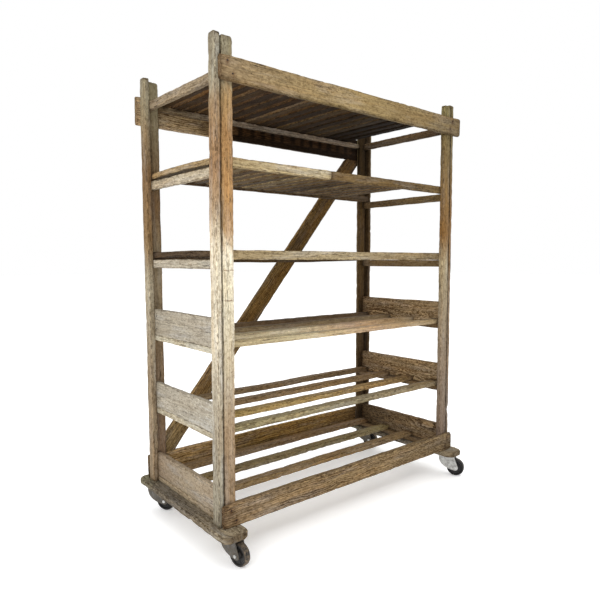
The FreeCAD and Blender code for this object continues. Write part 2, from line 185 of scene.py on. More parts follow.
def wood(
    name, slot, grain=0.6, figure=0.2, orange=0.4, gray=0.4, dirt=0.5, specks=0.3, pale_edge=0.4,
    dark_edge=0.7, swirl=0.05, dashes=0.6, grit=0.5
):
    """Old bare wood. The board's own colour comes from its tint, the grain runs along it."""
    SLOTS[name] = slot
    s = Shader(name)
    g = s.attr("grain", "Vector")
    tint = s.attr("tint", "Color")
    edge = s.attr("edge")
    tip = s.attr("tip")
    stain = s.attr("stain")

    def field(scale, shift=(0, 0, 0), **wave):
        """Noise stretched along the grain."""
        return s.noise(s.plus(s.times(g, scale), shift), **wave)

    blotch = field((5, 11, 11), detail=4)
    wide = field((1.5, 30, 30))
    streak = field((5, 105, 105), detail=5, rough=0.65, distort=0.4)
    fibre = field((26, 430, 430), rough=0.7)
    mottle = field((75, 130, 130), detail=5, rough=0.75)
    bend = s.mul(s.sub(blotch, 0.5), swirl)
    ring = s.rings(s.plus(s.times(g, (0.09, 1, 1)), s.node("CombineXYZ", {"Y": bend})), 40.0, 1.6)
    share = 0.04 + 0.12 * figure
    tone = s.total((streak, 0.34), (fibre, 0.24), (wide, 0.16), (mottle, 0.26), (ring, share))
    middle = 0.50 + 0.5 * share
    dark = s.step(tone, middle + 0.015, middle - 0.14)
    light = s.step(tone, middle, middle + 0.12)
    color = s.dye(s.mul(dark, grain), tint, tint, (0.33, 0.27, 0.21))
    color = s.dye(s.mul(light, 0.75 * grain), color, tint, (1.62, 1.57, 1.46))
    # warm, resinous patches and bleached gray ones
    warm = s.step(field((3.2, 22, 22), (7.0, 3.0, 1.0), detail=4), 0.46, 0.68)
    color = s.dye(s.mul(warm, orange), color, color, (1.10, 0.90, 0.66))
    bleach = s.step(field((4, 26, 26), (1.0, 9.0, 5.0), detail=5, rough=0.65), 0.46, 0.66)
    color = s.gray(color, s.mul(bleach, 0.6 * gray))
    color = s.dye(s.mul(bleach, 0.5 * gray), color, color, (1.22, 1.24, 1.24))
    # long hairline checks
    lines = field((5.5, 150, 150), (3.0, 8.0, 2.0), rough=0.5)
    check = s.step(s.math("ABSOLUTE", s.sub(lines, 0.5)), 0.018, 0.005)
    check = s.mul(check, s.step(wide, 0.44, 0.58))
    color = s.mix(s.mul(check, 0.85), color, (0.040, 0.028, 0.018))
    # ground-in dirt, short dark dashes in the grain, dark specks and pale ones
    grime = s.step(field((16, 34, 34), detail=6, rough=0.74), 0.50, 0.70)
    color = s.dye(s.mul(grime, dirt), color, color, (0.40, 0.34, 0.28))
    sand = s.step(field((60, 95, 95), (5.0, 2.0, 8.0), detail=5, rough=0.72), 0.50, 0.60)
    color = s.dye(s.mul(sand, grit), color, color, (0.42, 0.36, 0.29))
    dash = s.step(field((55, 340, 340), (2.0, 1.0, 6.0), rough=0.6), 0.57, 0.67)
    color = s.dye(s.mul(dash, dashes), color, color, (0.36, 0.29, 0.22))
    spot = s.step(field((130, 230, 230), detail=2), 0.68, 0.74)
    color = s.mix(s.mul(spot, 0.8), color, (0.030, 0.021, 0.014))
    fleck = s.step(field((95, 180, 180), (4.0, 4.0, 9.0)), 0.60, 0.70)
    color = s.dye(s.mul(fleck, specks), color, tint, (2.1, 2.1, 2.0))
    # worn corners: rubbed pale in places, dark with handling in others
    rub = field((50, 130, 130), detail=5, rough=0.7)
    worn = s.mul(s.step(edge, 0.35, 0.95), s.step(rub, 0.47, 0.62))
    color = s.dye(s.mul(worn, pale_edge), color, tint, (1.75, 1.7, 1.55))
    held = s.mul(s.step(edge, 0.2, 0.85), s.step(rub, 0.56, 0.40))
    color = s.dye(s.mul(held, dark_edge), color, color, (0.38, 0.32, 0.26))
    ends = s.mul(tip, s.step(rub, 0.25, 0.6, 0.45, 1.0))
    color = s.dye(s.mul(ends, 0.8), color, color, (0.34, 0.27, 0.21))
    color = s.dye(s.mul(stain, 0.9), color, color, (0.30, 0.17, 0.11))
    s.surface(Base_Color=color, Roughness=s.step(tone, 0.3, 0.75, 0.94, 0.74), Specular_IOR_Level=0.07)
    height = s.total((fibre, 0.5), (streak, 0.8), (mottle, 0.5), (check, -1.2), (dash, -0.5))
    s.surface(Normal=s.bump(height, 0.6, 0.0013))
    return s.mat


POST = wood(
    "post_wood_worn", "post_wood", grain=0.72, gray=0.5, dirt=0.45, specks=0.25, pale_edge=0.45, dashes=0.5,
    grit=0.55
)
POST_FACE = wood("post_face_worn", "post_wood", orange=0.35, gray=0.35, dirt=0.35, specks=0.2, dashes=0.3)
BOARD = wood(
    "board_wood_worn", "board_wood", grain=1.5, figure=0.9, orange=0.45, dirt=0.6, pale_edge=0.6,
    dark_edge=0.6, grit=0.6
)
APRON = wood(
    "apron_wood_worn", "board_wood", grain=0.7, gray=0.3, specks=0.2, pale_edge=0.3, dark_edge=0.8,
    dashes=0.3, grit=0.55
)
FRAME = wood(
    "frame_wood_worn", "frame_wood", grain=0.8, figure=0.4, orange=0.3, gray=0.5, dirt=0.55, dashes=0.5
)
PALE = wood(
    "pale_wood_worn", "frame_wood", grain=0.55, orange=0.12, gray=0.6, specks=0.4, pale_edge=0.5,
    dark_edge=0.6, dashes=0.35, grit=0.42
)
SLAT = wood(
    "slat_wood_worn", "slat_wood", grain=0.9, figure=0.3, orange=0.45, dirt=0.55, specks=0.25, pale_edge=0.45,
    dark_edge=0.8
)
SOFT_SLAT = wood(
    "soft_slat_worn", "slat_wood", orange=0.3, dirt=0.45, pale_edge=0.5, dark_edge=0.25, dashes=0.3, grit=0.3
)
BURL = wood(
    "burl_wood_worn", "frame_wood", grain=1.25, figure=1.5, orange=0.35, gray=0.35, dirt=0.75, swirl=0.2,
    dashes=0.4, grit=0.75
)
BATTEN = wood(
    "batten_wood_worn", "batten_wood", grain=0.9, orange=0.12, gray=0.6, dirt=0.8, specks=0.75,
    pale_edge=0.35, dark_edge=0.9, grit=0.7
)


# ---- planks


def smooth_line(rng, waves, longest, shortest):
    """A smooth random curve of unit size along a board."""
    terms = []
    for _ in range(waves):
        length = math.exp(rng.uniform(math.log(shortest), math.log(longest)))
        terms.append((math.tau / length, rng.uniform(0, math.tau), rng.uniform(0.5, 1.0)))
    total = sum(t[2] for t in terms)
    return lambda s: sum(a * np.sin(k * s + p) for k, p, a in terms) / total


def fade(s, at, reach):
    """1 at one place along a board, falling to 0 at some distance from it."""
    return np.clip(1 - np.abs(s - at) / reach, 0, 1)


def lean(points):
    """The whole frame is a little out of square: its lower back left corner stands in."""
    u = np.clip((points[:, 0] - LEFT_DATUM) / SPAN_X, 0, 1)
    v = np.clip((points[:, 1] - FRONT_DATUM) / SPAN_Y, 0, 1)
    w = np.clip((points[:, 2] - BATTEN_TOP) / HEIGHT, 0, 1)
    points[:, 0] += LEAN * (1 - u) * v * (1 - w)
    return points


NAILS = []  # (place, outward direction, radius of the head)


def store(mesh, name, values, kind="FLOAT", key="value"):
    """Give every vertex a value that the materials read."""
    layer = mesh.attributes.new(name, kind, "POINT")
    layer.data.foreach_set(key, np.asarray(values, np.float32).ravel())


class Timber:
    """One object made of one or more planks."""

    def __init__(self, name):
        self.name = name
        self.points, self.faces, self.flat = [], [], []
        self.grain, self.tint, self.edge, self.tip, self.scar = [], [], [], [], []
        self.count = 0

    def plank(self, lo, hi, along, seed, tones, **wear):
        """A plank that fills a box. The other two axes are its width and its thickness."""
        lo, hi = np.array(lo, float), np.array(hi, float)
        size = hi - lo
        others = [k for k in range(3) if k != along]
        wide = max(others, key=lambda k: size[k])
        thin = min(others, key=lambda k: size[k])
        if wide == thin:
            wide, thin = others
        order = [along, wide, thin]
        start = (lo + hi) / 2
        start[along] = lo[along]
        self.sweep(start, *np.eye(3)[order], *size[order], seed, tones, **wear)

    def sweep(
        self, start, U, B, C, L, W, T, seed, tones,
        step=0.012, corner=0.0028, sag=(0, 0), bend=0.0010, wander=0.0008, chips=6.0, chip_depth=0.0022,
        splits=1, split_depth=0.003, shear=0.0, dome=(0, 0), shade=0.07, twist=0.0,
        round_ends=0.0, notch=None, scars=(
            
        ), squares=None, side_gain=1.0, under=None, outside=None, seam=None,
    ):
        rng = np.random.default_rng(seed)
        hw, ht = W / 2, T / 2
        # columns across the plank's width, with three extra for each split
        count = max(2, int(round((W - 2 * corner) / 0.0095)))
        columns = list(np.linspace(-hw + corner, hw - corner, count + 1))
        grooves = []
        for _ in range(splits):
            at = rng.uniform(-0.32, 0.32) * W
            if all(abs(at - g) > 0.008 for g in grooves):
                grooves.append(at)
        half = 0.0011
        for at in grooves:
            columns = [c for c in columns if abs(c - at) > 0.0026]
            columns += [at - half, at, at + half]
        columns = sorted(columns)
        arc = [(math.sin(a), math.cos(a)) for a in map(math.radians, (15, 45, 75))]
        rim = 0.0030
        low = [(-hw, 0.0, 0.0), (-hw, -ht + corner + rim, 0.0)]
        for sin, cos in arc:
            low.append((-hw + corner * (1 - cos), -ht + corner * (1 - sin), 1.0))
        columns = [c for c in columns if abs(c) < hw - corner - rim - 0.002]
        columns = [-hw + corner + rim] + columns + [hw - corner - rim]
        low += [(c, -ht, 0.0) for c in columns]
        for sin, cos in reversed(arc):
            low.append((hw - corner * (1 - cos), -ht + corner * (1 - sin), 1.0))
        low += [(hw, -ht + corner + rim, 0.0), (hw, 0.0, 0.0)]
        low = np.array(low)
        m = len(low)
        high = low[::-1][1:-1].copy()
        high[:, 1] *= -1
        ring = np.vstack([low, high])
        n = len(ring)
        inner = max(2, int(round(L / step)))
        stations = np.concatenate(
            [[0, 0.0014], np.linspace(0.0014, L - 0.0014, inner + 1)[1:-1], [L - 0.0014, L]]
        )
        for at in scars:
            stations = stations[np.abs(stations - at) > 0.004]
            stations = np.sort(
                np.concatenate([stations, at + np.array([-0.0032, -0.0013, 0, 0.0013, 0.0032])])
            )
        k = len(stations)
        s = np.repeat(stations[:, None], n, 1)
        b = np.repeat(ring[None, :, 0], k, 0)
        c = np.repeat(ring[None, :, 1], k, 0)
        soft = np.repeat(ring[None, :, 2], k, 0)
        b0, c0 = b.copy(), c.copy()
        # worn, uneven corners and chips
        for sb in (-1, 1):
            for sc in (-1, 1):
                reach = np.clip(1 - np.hypot(b0 - sb * hw, c0 - sc * ht) / 0.0085, 0, 1)
                line = smooth_line(rng, 4, 0.22, 0.03)
                loss = 0.0007 * np.clip(line(s) + 0.25, 0, 1) * 1.6
                for _ in range(rng.poisson(chips * L / 4)):
                    at, long = rng.uniform(0, L), rng.uniform(0.006, 0.026)
                    deep = rng.uniform(0.35, 1.0) * chip_depth
                    loss = loss + deep * np.where(
                        abs(s - at) < long, 0.5 + 0.5 * np.cos(np.pi * (s - at) / long), 0
                    )
                for end in (0, L):
                    deep = rng.uniform(0.2, 1.0) * chip_depth
                    loss = loss + deep * fade(s, end, 0.02) ** 2
                b = b - sb * loss * reach
                c = c - sc * loss * reach
        # splits
        for at in grooves:
            here = abs(b0 - at) < 1e-6
            near = abs(b0 - at) < half * 1.5
            side = rng.choice((-1, 1))
            from_end = rng.random() < 0.7
            long = rng.uniform(0.05, 0.3) * min(L, 1.2)
            if from_end:
                end = rng.choice((0, 1)) * L
                depth = split_depth * rng.uniform(0.6, 1.6) * fade(s, end, long)
            else:
                middle = rng.uniform(0.2, 0.8) * L
                depth = split_depth * rng.uniform(0.5, 1.0) * np.clip(1 - (abs(s - middle) / long) ** 2, 0, 1)
            on_side = np.sign(c0) == side
            c = c - side * np.where(here & on_side, np.minimum(depth, T * 0.4), 0)
            drift = smooth_line(rng, 3, 0.5, 0.08)
            b = b + np.where(near, drift(s) * 0.002, 0)
        # uneven faces
        for _ in range(3):
            kx, ky = rng.uniform(15, 90), rng.uniform(30, 160)
            wave = np.sin(kx * s + ky * b0 + rng.uniform(0, 6.3)) * rng.uniform(0.1, 0.22) * 0.001
            c = c + np.sign(c0) * wave
        # short cracks across the grain
        scarred = np.zeros_like(s)
        for at in scars:
            broken = smooth_line(rng, 3, 0.03, 0.008)
            deep = fade(s, at, 0.0013) * np.clip(broken(b0) + 0.55, 0, 1)
            c = c - np.sign(c0) * 0.0016 * deep * (soft == 0)
            mark = fade(s, at, 0.0032) * np.clip(broken(b0) + 0.6, 0, 1)
            scarred = np.maximum(scarred, mark)
            s = s + 0.0022 * smooth_line(rng, 3, 0.05, 0.015)(b0) * fade(s, at, 0.01)
        widen = smooth_line(rng, 3, 0.9, 0.12)
        thick = smooth_line(rng, 3, 0.9, 0.12)
        b = b * (1 + wander * 2 * widen(s) / W)
        c = c * (1 + wander * 0.9 * thick(s) / T)
        if round_ends:
            # both ends rounded in plan
            for end in (0, L):
                away = np.clip(round_ends - abs(s - end), 0, round_ends)
                pull = round_ends - np.sqrt(np.maximum(round_ends ** 2 - away ** 2, 0))
                b = b * np.clip((hw - pull) / hw, 0.05, 1)
        # cut ends: slightly out of square, eased and ragged
        ease = np.zeros_like(s)
        ease[0] = ease[-1] = 0.0011
        b = b - np.sign(b0) * ease * (soft > 0)
        c = c - np.sign(c0) * ease
        for end, sign in ((0, 1), (L, -1)):
            slope_b, slope_c = rng.normal(0, 0.014), rng.normal(0, 0.03)
            ragged = np.abs(rng.normal(0, 0.0004, n))[None, :] * (abs(s - end) < 0.002)
            s = s + fade(s, end, 0.03) * (slope_b * b0 + slope_c * c0) + sign * ragged
        for radius, end in ((dome[0], 0), (dome[1], L)):
            if radius:
                over = np.clip(abs(b0) - (hw - radius), 0, radius)
                drop = radius - np.sqrt(radius ** 2 - over ** 2)
                s = s + (1 if end == 0 else -1) * drop * fade(s, end, 0.035)
        if notch is not None:
            at, long, deep, sb = notch
            bite = deep * np.where(abs(s - at) < long, 0.5 + 0.5 * np.cos(np.pi * (s - at) / long), 0)
            b = b - sb * bite * np.clip(sb * b0 / hw - 0.4, 0, 1) / 0.6
        s = s + shear * b0
        turn = twist * (s / L - 0.5)
        b, c = b * np.cos(turn) - c * np.sin(turn), b * np.sin(turn) + c * np.cos(turn)
        arch = 4 * (s / L) * (1 - s / L)
        hook = np.sin(np.pi * np.clip(s / L, 0, 1))
        bow_b, bow_c = smooth_line(rng, 3, 1.6, 0.35), smooth_line(rng, 3, 1.6, 0.35)
        shift_b = sag[0] * arch + bend * bow_b(s) * hook
        shift_c = sag[1] * arch + bend * bow_c(s) * hook
        world = start + s[..., None] * U + (b + shift_b)[..., None] * B + (c + shift_c)[..., None] * C
        world = lean(world.reshape(-1, 3))
        # faces
        base = self.count
        i = np.arange(k - 1)[:, None] * n
        j = np.arange(n)[None, :]
        after = (j + 1) % n
        quads = np.stack([i + j, i + after, i + n + after, i + n + j], -1).reshape(-1, 4)
        right_handed = np.dot(np.cross(U, B), C) > 0
        faces = [tuple(q) for q in (quads[:, ::-1] if right_handed else quads)]
        self.flat += [False] * len(faces)
        top = lambda q: (2 * (m - 1) - q) % n
        for end, offset in ((0, 0), (1, (k - 1) * n)):
            cap = [(0, 1, top(1)), (m - 1, top(m - 2), m - 2)]
            cap += [(q, q + 1, top(q + 1), top(q)) for q in range(1, m - 2)]
            for face in cap:
                face = tuple(offset + q for q in face)
                faces.append(face if (end == 1) == bool(right_handed) else face[::-1])
                self.flat.append(True)
        self.faces += [tuple(int(base + q) for q in f) for f in faces]
        self.points.append(world)
        self.count += len(world)
        shift = rng.uniform((0, 0.02, 0.02), (9, 0.09, 0.09))
        if rng.random() < 0.5:
            shift[1] = -shift[1]
        self.grain.append(np.stack([s + shift[0], b0 + shift[1], c0 + shift[2]], -1).reshape(-1, 3))
        dial = TINT_GAIN * (1 + rng.uniform(-shade, shade))
        drifted = s + 0.03 * smooth_line(rng, 3, 0.2, 0.03)(s + b0 * 2.2)

        def painted(tones):
            stops = np.array([at for at, _ in tones]) * L
            colors = np.array([srgb(color) for _, color in tones])
            return np.stack([np.interp(drifted.ravel(), stops, colors[:, q]) * dial for q in range(3)], -1)

        tint = painted(tones)
        if outside is not None:
            # the face that points away from the rack has its own colours
            tint = np.where((c0 > 0).ravel()[:, None], painted(outside), tint)
        if squares is not None:
            # painted light: patches of light falling through the gaps between the slats onto the board
            first, last, pitch, b_low, b_high, gain = squares
            lit = (np.mod(s - first, pitch) < pitch * 0.6) & (s > first) & (s < last)
            lit &= (b0 > b_low) & (b0 < b_high) & (c0 < 0)
            tint = tint * np.where(lit.ravel(), gain, 1.0)[:, None]
        # painted highlight: the plank's narrow sides are lightened as if lit
        if side_gain != 1.0:
            tint = tint * np.where(np.abs(b0) > hw - corner * 0.3, side_gain, 1.0).ravel()[:, None]
        # painted shade: the underside and the lower part of the faces are darkened
        if under is not None:
            level, gain = under
            border = level * W + 0.006 * smooth_line(rng, 4, 0.3, 0.04)(s)
            tint = tint * (1 + (gain - 1) * np.clip((border - b0) / 0.012 + 0.5, 0, 1)).ravel()[:, None]
        if seam is not None:
            # painted shade in the joint with the plank that fills this box
            gap = np.maximum(np.maximum(seam[0] - world, world - seam[1]), 0)
            in_joint_shade = (np.linalg.norm(gap, axis=1) < 0.0045) & (soft.ravel() > 0)
            tint = tint * np.where(in_joint_shade, 0.34, 1.0)[:, None]
        self.tint.append(tint)
        self.scar.append(scarred.ravel())
        self.edge.append(soft.ravel())
        near_tip = np.exp(-np.minimum(s, L - s) / 0.011)
        near_tip[0] = near_tip[-1] = 1
        self.tip.append(np.clip(near_tip, 0, 1).ravel())

    def finish(self, material, *nodes):
        points = np.vstack(self.points)
        mesh = bpy.data.meshes.new(self.name)
        mesh.from_pydata(points.tolist(), [], self.faces)
        mesh.polygons.foreach_set("use_smooth", [not f for f in self.flat])
        store(mesh, "grain", np.vstack(self.grain), "FLOAT_VECTOR", "vector")
        colors = np.clip(np.vstack(self.tint), 0, 1)
        store(mesh, "tint", np.hstack([colors, np.ones((len(colors), 1))]), "FLOAT_COLOR", "color")
        stain = np.concatenate(self.scar)
        for place, out, radius in NAILS:
            gap = points - place
            away = gap @ out
            across = gap - np.outer(away, out)
            across[:, 2] = np.where(across[:, 2] < 0, across[:, 2] * 0.45, across[:, 2])
            halo = np.exp(-((np.linalg.norm(across, axis=1) / (radius * 2.3)) ** 2))
            stain = np.maximum(stain, np.where(np.abs(away) < 0.006, halo, 0))
        store(mesh, "edge", np.concatenate(self.edge))
        store(mesh, "tip", np.concatenate(self.tip))
        store(mesh, "stain", stain)
        mesh.materials.append(material)
        mesh.update()
        attach(mesh, RACK, SLOTS[material.name], *nodes)


def put_in_scene(name, data):
    obj = bpy.data.objects.new(name, data)
    bpy.context.scene.collection.objects.link(obj)
    return obj


def attach(mesh, body, slot, *nodes):
    obj = put_in_scene(mesh.name, mesh)
    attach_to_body(obj, body)
    if nodes:
        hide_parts(*nodes)
    return obj


def single(node, along, seed, tones, material, **wear):
    """One node that is one plank."""
    lo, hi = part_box(node)
    timber = Timber("worn_" + node)
    timber.plank(lo, hi, along, seed, tones, **wear)
    timber.finish(material, node)


# ---- nails, placed first so that boards get their stains

NAIL_R, SMALL_NAIL_R = 0.0035, 0.0026
for node, face in (
    ("apron_front", -1), ("apron_back", 1), ("bottom_rail_front", -1), ("bottom_rail_back", 1)
):
    lo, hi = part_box(node)
    y = lo[1] if face < 0 else hi[1]
    for end in (0, 1):
        for across, up in ((0.3, 0.78), (0.72, 0.28)):
            inset = 0.022 + across * 0.049  # over the face of the corner post
            x = LEFT_DATUM + (inset if end == 0 else SPAN_X - inset)
            NAILS.append(((x, y, lo[2] + up * (hi[2] - lo[2])), (0, face, 0), NAIL_R))
for shelf in ("lower", "low", "bottom"):
    for end, out in (("left", -1), ("right", 1)):
        lo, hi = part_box(f"end_board_{shelf}_{end}")
        x = lo[0] if out < 0 else hi[0]
        for y in (lo[1] + 0.034, hi[1] - 0.036):
            for up in (0.27, 0.75):
                NAILS.append(((x, y, lo[2] + up * (hi[2] - lo[2])), (out, 0, 0), SMALL_NAIL_R))

COUNTS = {"top": 18, "upper": 17, "middle": 17}


def slat_boxes(node, count, width, axis):
    """The boxes of equal, evenly spaced slats that share one node."""
    lo, hi = (np.array(v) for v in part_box(node))
    pitch = (hi[axis] - lo[axis] - width) / (count - 1)
    boxes = []
    for i in range(count):
        a, b = lo.copy(), hi.copy()
        a[axis] = lo[axis] + i * pitch
        b[axis] = a[axis] + width
        boxes.append((a, b))
    return boxes


for shelf, count in COUNTS.items():
    for a, b in slat_boxes(f"slats_{shelf}", count, SLAT_W, X):
        for y in (a[1] + 0.012, b[1] - 0.012):
            NAILS.append((((a[0] + b[0]) / 2, y, b[2]), (0, 0, 1), SMALL_NAIL_R))
for shelf in ("lower", "low", "bottom"):
    for a, b in slat_boxes(f"slats_{shelf}", 4, BOARD_W, Y):
        for x in (a[0] + 0.014, b[0] - 0.014):
            for t in (0.28, 0.72):
                NAILS.append(((x, a[1] + t * (b[1] - a[1]), b[2]), (0, 0, 1), SMALL_NAIL_R))


# ---- posts

POST_TONES = {
    "front_left_outer": [
        (0, (138, 132, 116)), (0.2, (160, 151, 133)), (0.34, (186, 176, 156)), (0.45, (210, 201, 180)),
        (0.58, (208, 197, 173)), (0.65, (164, 142, 114)), (0.74, (146, 116, 84)), (0.86, (146, 122, 92)),
        (0.91, (152, 144, 124)), (1, (146, 142, 126))
    ],
    "front_left_inner": [
        (0, (146, 122, 92)), (0.2, (160, 137, 109)), (0.34, (196, 182, 154)), (0.45, (220, 210, 184)),
        (0.56, (232, 222, 196)), (0.62, (176, 142, 98)), (0.8, (156, 120, 78)), (0.88, (164, 134, 92)),
        (0.915, (152, 140, 112)), (1, (148, 140, 114))
    ],
    "front_right_outer": [
        (0, (112, 98, 84)), (0.4, (138, 120, 98)), (0.7, (126, 96, 60)), (0.85, (118, 102, 70)),
        (1, (124, 116, 84))
    ],
    "front_right_inner": [
        (0, (120, 102, 88)), (0.3, (146, 130, 110)), (0.55, (170, 156, 126)), (0.63, (134, 100, 58)),
        (0.76, (130, 104, 66)), (0.88, (126, 110, 76)), (1, (134, 126, 88))
    ],
    "back_left_outer": [
        (0, (142, 124, 100)), (0.25, (148, 134, 112)), (0.5, (162, 152, 130)), (0.62, (130, 106, 74)),
        (0.78, (124, 98, 68)), (0.92, (144, 134, 110)), (1, (142, 136, 116))
    ],
    "back_left_inner": [
        (0, (126, 102, 80)), (0.3, (136, 116, 92)), (0.55, (156, 140, 112)), (0.7, (124, 98, 68)),
        (0.9, (134, 122, 96)), (1, (138, 130, 102))
    ],
    # painted shade: the back right posts stand in the rack's shadow, so their tones are near black-brown
    "back_right_outer": [(0, (60, 46, 30)), (0.4, (72, 56, 36)), (0.7, (72, 56, 34)), (1, (52, 40, 26))],
    "back_right_inner": [
        (0, (68, 54, 36)), (0.4, (86, 68, 44)), (0.7, (88, 68, 38)), (0.85, (58, 44, 24)), (1, (50, 38, 22))
    ],
}
for i, (key, tones) in enumerate(POST_TONES.items()):
    wear = dict(dome=(0, POST_CAP), chips=9, splits=1, bend=0.0014, wander=0.0006, corner=0.0030)
    other = key.replace("inner", "outer") if key.endswith("inner") else key.replace("outer", "inner")
    wear["seam"] = [np.array(v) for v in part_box("post_" + other)]
    if key == "front_left_inner":
        wear["scars"] = (0.80, 0.905)
    # their outward faces keep their own colours, without the painted shade
    if key.startswith("back_right"):
        wear["outside"] = [
            (0, (112, 98, 82)), (0.4, (130, 114, 92)), (0.7, (118, 94, 62)), (1, (116, 106, 78))
        ]
    if key == "front_right_outer":
        wear["notch"] = (0.19, 0.03, 0.006, -1)
    single("post_" + key, Z, 100 + i, tones, POST_FACE if key.endswith("inner") else POST, **wear)

# ---- long boards

# the apron's underside and lower edge get painted shade
single(
    "apron_front", X, 201,
    [
        (0, (146, 126, 96)), (0.15, (146, 126, 92)), (0.45, (152, 131, 90)), (0.8, (134, 116, 82)),
        (1, (116, 99, 70))
    ],
    APRON, chips=12, chip_depth=0.0035, splits=2, corner=0.0035, bend=0.002, under=(-0.44, 0.62)
)
# the back apron's inner face carries painted shade, near black toward the right under the top shelf, with
# painted patches of light between the slats; its outer face has its own colours
single(
    "apron_back", X, 202,
    [
        (0, (176, 156, 124)), (0.2, (170, 146, 108)), (0.28, (96, 72, 44)), (0.36, (44, 30, 16)),
        (0.6, (38, 25, 12)), (1, (26, 16, 7))
    ],
    BOARD, chips=8, splits=2, corner=0.003, bend=0.0015, squares=(0.40, 1.26, 0.0625, -0.026, 0.010, 3.0),
    outside=[(0, (150, 132, 98)), (0.5, (142, 122, 86)), (1, (124, 106, 76))]
)
single(
    "bottom_rail_front", X, 203,
    [(0, (130, 110, 84)), (0.3, (131, 110, 80)), (0.6, (134, 114, 84)), (1, (112, 96, 72))], BOARD, chips=14,
    chip_depth=0.004, splits=3, split_depth=0.004, corner=0.0045, bend=0.002
)
# the rail's underside and lower half get painted shade
single(
    "bottom_rail_back", X, 204,
    [
        (0, (92, 84, 70)), (0.04, (100, 90, 72)), (0.07, (186, 154, 104)), (0.25, (150, 122, 78)),
        (0.45, (146, 118, 68)), (0.75, (152, 122, 72)), (1, (112, 88, 58))
    ],
    BOARD, chips=8, splits=3, corner=0.003, bend=0.002, under=(-0.1, 0.5),
    outside=[(0, (140, 122, 94)), (0.5, (146, 126, 92)), (1, (128, 110, 82))]
)

# the brace runs between the back apron and the back bottom rail
BRACE_W, BRACE_FOOT, BRACE_HEAD = 0.082, 0.067, 1.25
lo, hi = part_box("diagonal_brace")
foot = np.array([LEFT_DATUM + BRACE_FOOT, (lo[1] + hi[1]) / 2, lo[2]])
head = np.array([LEFT_DATUM + BRACE_HEAD, (lo[1] + hi[1]) / 2, hi[2]])
run = head - foot
length = float(np.linalg.norm(run))
along = run / length
across = np.array([-along[2], 0, along[0]])
brace = Timber("worn_diagonal_brace")
brace.sweep(
    foot, along, across, np.array([0, 1.0, 0]), length, BRACE_W, hi[1] - lo[1], 205,
    [
        (0, (142, 122, 86)), (0.3, (134, 108, 66)), (0.55, (128, 102, 58)), (0.8, (118, 92, 50)),
        (1, (86, 64, 36))
    ],
    shear=-across[2] / along[2], splits=2, chips=6,
)
brace.finish(BOARD, "diagonal_brace")

# ---- rails of the decks

# painted shade: the back rails' inner faces and the top right end rail lie in shadow
SHADED_RAIL = [(0, (84, 66, 46)), (0.5, (96, 78, 54)), (1, (78, 62, 42))]
RAIL_TONES = {
    "end_rail_top_left": [(0, (138, 122, 98)), (0.5, (149, 133, 109)), (1, (132, 117, 95))],
    "end_rail_upper_left": [(0, (172, 158, 132)), (0.5, (175, 163, 141)), (1, (156, 144, 122))],
    "end_rail_middle_left": [(0, (168, 161, 145)), (1, (162, 153, 137))],
    "end_rail_top_right": SHADED_RAIL,
    "end_rail_upper_right": [(0, (120, 100, 66)), (1, (102, 82, 56))],
    "end_rail_middle_right": [(0, (126, 106, 74)), (1, (112, 92, 64))],
    "ledger_top_front": [(0, (120, 98, 66)), (1, (110, 88, 60))],
    "ledger_top_back": [
        (0, (112, 96, 70)), (0.3, (150, 136, 118)), (0.9, (146, 130, 112)), (1, (100, 84, 60))
    ],
}
for i, (node, tones) in enumerate(RAIL_TONES.items()):
    if node.startswith("ledger"):
        single(node, X, 301 + i, tones, FRAME, chips=5)
    else:
        single(node, Y, 301 + i, tones, FRAME, chips=8)


def deck_rail(shelf, face, seed, tones, parts=((0, 1),), **wear):
    """A long rail in one or more lengths butted end to end."""
    node = f"deck_rail_{shelf}_{face}"
    lo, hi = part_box(node)
    timber = Timber("worn_" + node)
    for q, (a, b) in enumerate(parts):
        one, two = np.array(lo), np.array(hi)
        one[0] = lo[0] + a * (hi[0] - lo[0]) + (0.0006 if a else 0)
        two[0] = lo[0] + b * (hi[0] - lo[0])
        timber.plank(one, two, X, seed + q, tones[q], **wear)
    timber.finish(FRAME, node)


PALE_LENGTH = [(0, (164, 146, 110)), (1, (172, 156, 120))]
DARK_LENGTH = [(0, (118, 98, 66)), (0.5, (104, 86, 56)), (1, (108, 90, 60))]
deck_rail("upper", "front", 310, [PALE_LENGTH, DARK_LENGTH], parts=((0, 0.41), (0.41, 1)), chips=10, splits=2)
deck_rail("upper", "back", 313, [SHADED_RAIL], chips=6)
FADING = [(0, (156, 138, 104)), (0.4, (164, 148, 116)), (1, (128, 112, 84))]
deck_rail("middle", "front", 315, [FADING], chips=10, splits=2)
deck_rail("middle", "back", 317, [SHADED_RAIL], sag=(-0.012, 0), chips=6)

# ---- cross slats

